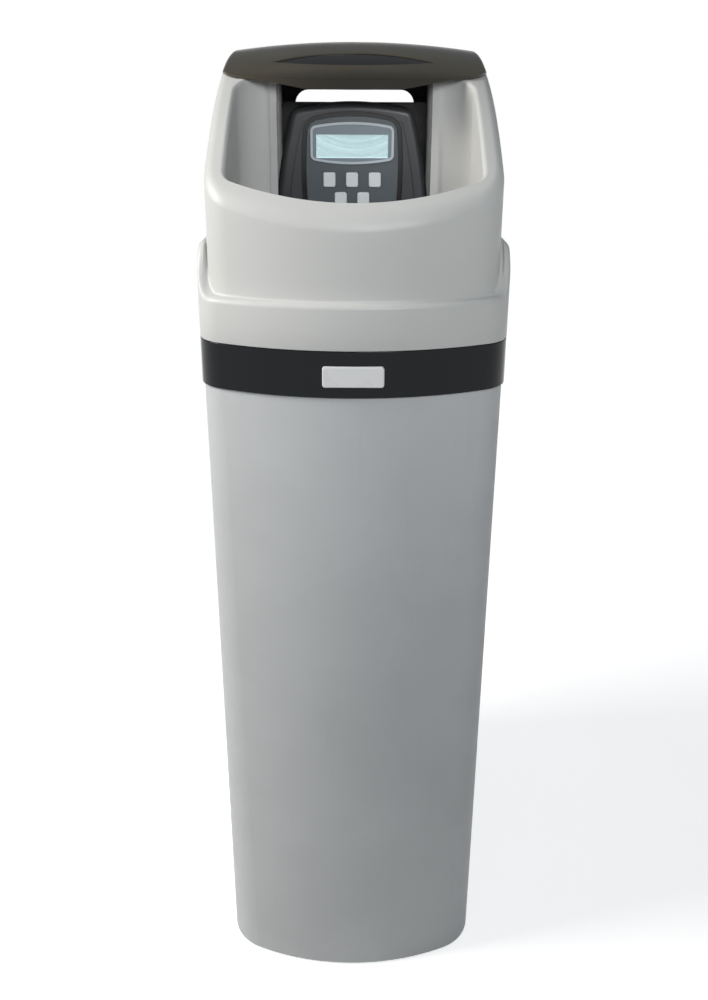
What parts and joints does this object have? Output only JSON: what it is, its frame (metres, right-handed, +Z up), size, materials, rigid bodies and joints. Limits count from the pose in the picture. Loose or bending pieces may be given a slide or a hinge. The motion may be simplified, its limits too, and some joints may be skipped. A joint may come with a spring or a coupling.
{
  "type": "cabinet water softener",
  "caption": "Tall cabinet water filter with a bowed front, a scoop pocket, a control valve with display and keys behind it, and a curved lid that slides back.",
  "frame": {"origin": "middle of the base on the floor", "axes": "+Z up; the bowed front with the badge faces -Y; +X to the right seen from the front"},
  "size_m": [0.327, 0.5328, 1.1172],
  "materials": {
    "shell_grey": "satin moulded",
    "cover_grey": "satin moulded",
    "band_black": "gloss",
    "badge_white": "satin",
    "screw_steel": "bright",
    "grommet_rubber": "matt",
    "shroud_dark": "fine grain",
    "deck_dark": "fine grain",
    "lid_black": "gloss",
    "runner_white": "smooth",
    "tank_blue": "wound fibre under resin",
    "boot_black": "smooth",
    "tube_white": "smooth",
    "basket_grey": "smooth",
    "gravel": "rough",
    "resin_amber": "beads",
    "grid_grey": "smooth",
    "well_grey": "smooth",
    "fitting_black": "smooth",
    "float_white": "smooth",
    "line_clear": "smooth",
    "valve_black": "moulded with fibre",
    "seal_rubber": "smooth",
    "piston_grey": "smooth",
    "turbine_white": "smooth",
    "handle_red": "smooth",
    "tail_grey": "smooth",
    "case_grey": "fine grain",
    "panel_grey": "fine grain",
    "bezel_silver": "satin silver",
    "lens_clear": "clear",
    "lcd_pale": "smooth",
    "board_green": "lacquered",
    "switch_black": "smooth",
    "motor_steel": "rolled",
    "gear_white": "smooth",
    "key_white": "satin"
  },
  "bodies": {
    "cabinet": {"cabinet_shell": "shell_grey", "trim_band": "band_black", "name_plate": "badge_white", "top_cover": "cover_grey", "cover_screws": "screw_steel", "cable_grommet": "grommet_rubber", "bay_strips": "cover_grey", "strip_clips": "cover_grey", "bay_shroud": "shroud_dark", "rear_deck": "deck_dark", "resin_tank": "tank_blue", "tank_boot": "boot_black", "riser_tube": "tube_white", "bottom_basket": "basket_grey", "top_basket": "basket_grey", "gravel_bed": "gravel", "resin_bed": "resin_amber", "salt_grid": "grid_grey", "brine_well": "well_grey", "float_valve": "float_white", "air_check": "fitting_black", "brine_line": "line_clear", "overflow_elbow": "fitting_black", "overflow_nut": "fitting_black", "valve_body": "valve_black", "seal_stack": "seal_rubber", "injector_cap": "valve_black", "brine_elbow": "fitting_black", "drain_elbow": "fitting_black", "bypass_body": "valve_black", "pipe_tails": "tail_grey", "union_nuts": "valve_black", "valve_cover": "case_grey", "control_panel": "panel_grey", "display_bezel": "bezel_silver", "display_lens": "lens_clear", "lcd_module": "lcd_pale", "circuit_board": "board_green", "key_switches": "switch_black", "drive_bracket": "valve_black", "bracket_bolts": "screw_steel", "drive_motor": "motor_steel"},
    "lid": {"sliding_lid": "lid_black", "lid_runners": "runner_white"},
    "inlet_handle": {"bypass_handle_inlet": "handle_red"},
    "outlet_handle": {"bypass_handle_outlet": "handle_red"},
    "main_gear": {"main_gear": "gear_white"},
    "reduction_wheel": {"reduction_wheel": "gear_white"},
    "motor_pinion": {"motor_pinion": "gear_white"},
    "piston": {"piston": "piston_grey"},
    "turbine": {"meter_turbine": "turbine_white"},
    "well_cap": {"brine_well_cap": "fitting_black"},
    "float": {"brine_float": "float_white"},
    "key_left": {"key_left": "key_white"},
    "key_middle": {"key_middle": "key_white"},
    "key_right": {"key_right": "key_white"},
    "key_up": {"key_up": "key_white"},
    "key_down": {"key_down": "key_white"}
  },
  "joints": [
    {"name": "lid_slide", "type": "hinge", "parent": "cabinet", "child": "lid", "pos_m": [0, 0.1505, 0.568], "axis": [1, 0, 0], "range_deg": [0, 19.6]},
    {"name": "inlet_valve", "type": "hinge", "parent": "cabinet", "child": "inlet_handle", "pos_m": [-0.0445, 0.193, 0.949], "axis": [0, 0, 1], "range_deg": [0, 90]},
    {"name": "outlet_valve", "type": "hinge", "parent": "cabinet", "child": "outlet_handle", "pos_m": [0.0395, 0.193, 0.949], "axis": [0, 0, -1], "range_deg": [0, 90]},
    {"name": "main_gear_turn", "type": "hinge", "parent": "cabinet", "child": "main_gear", "pos_m": [-0.0025, 0.0366, 0.925], "axis": [0, 1, 0], "range_deg": [0, 720]},
    {"name": "reduction_wheel_turn", "type": "hinge", "parent": "cabinet", "child": "reduction_wheel", "pos_m": [-0.03697, 0.0289, 0.95947], "axis": [0, 1, 0], "range_deg": [-2420, 0]},
    {"name": "motor_pinion_turn", "type": "hinge", "parent": "cabinet", "child": "motor_pinion", "pos_m": [-0.01849, 0.0289, 0.99424], "axis": [0, 1, 0], "range_deg": [0, 6050]},
    {"name": "piston_stroke", "type": "slide", "parent": "cabinet", "child": "piston", "axis": [0, 1, 0], "range_m": [0, 0.0241]},
    {"name": "turbine_turn", "type": "hinge", "parent": "cabinet", "child": "turbine", "pos_m": [0.0395, 0.156, 0.925], "axis": [0, 1, 0], "continuous": true},
    {"name": "well_cap_lift", "type": "slide", "parent": "cabinet", "child": "well_cap", "axis": [0, 0, 1], "range_m": [0, 0.03]},
    {"name": "float_lift", "type": "slide", "parent": "cabinet", "child": "float", "axis": [0, 0, 1], "range_m": [0, 0.03]},
    {"name": "key_left_press", "type": "slide", "parent": "cabinet", "child": "key_left", "axis": [0, 1, 0], "range_m": [0, 0.0012], "stiffness_N_per_m": 400, "springref_m": -0.0005},
    {"name": "key_middle_press", "type": "slide", "parent": "cabinet", "child": "key_middle", "axis": [0, 1, 0], "range_m": [0, 0.0012], "stiffness_N_per_m": 400, "springref_m": -0.0005},
    {"name": "key_right_press", "type": "slide", "parent": "cabinet", "child": "key_right", "axis": [0, 1, 0], "range_m": [0, 0.0012], "stiffness_N_per_m": 400, "springref_m": -0.0005},
    {"name": "key_up_press", "type": "slide", "parent": "cabinet", "child": "key_up", "axis": [0, 1, 0], "range_m": [0, 0.0012], "stiffness_N_per_m": 400, "springref_m": -0.0005},
    {"name": "key_down_press", "type": "slide", "parent": "cabinet", "child": "key_down", "axis": [0, 1, 0], "range_m": [0, 0.0012], "stiffness_N_per_m": 400, "springref_m": -0.0005}
  ],
  "couplings": [
    {"joint": "reduction_wheel_turn", "follows": "main_gear_turn", "ratio": -3.3333},
    {"joint": "motor_pinion_turn", "follows": "main_gear_turn", "ratio": 8.3333},
    {"joint": "piston_stroke", "follows": "main_gear_turn", "m_per_rad": 0.0019099}
  ]
}
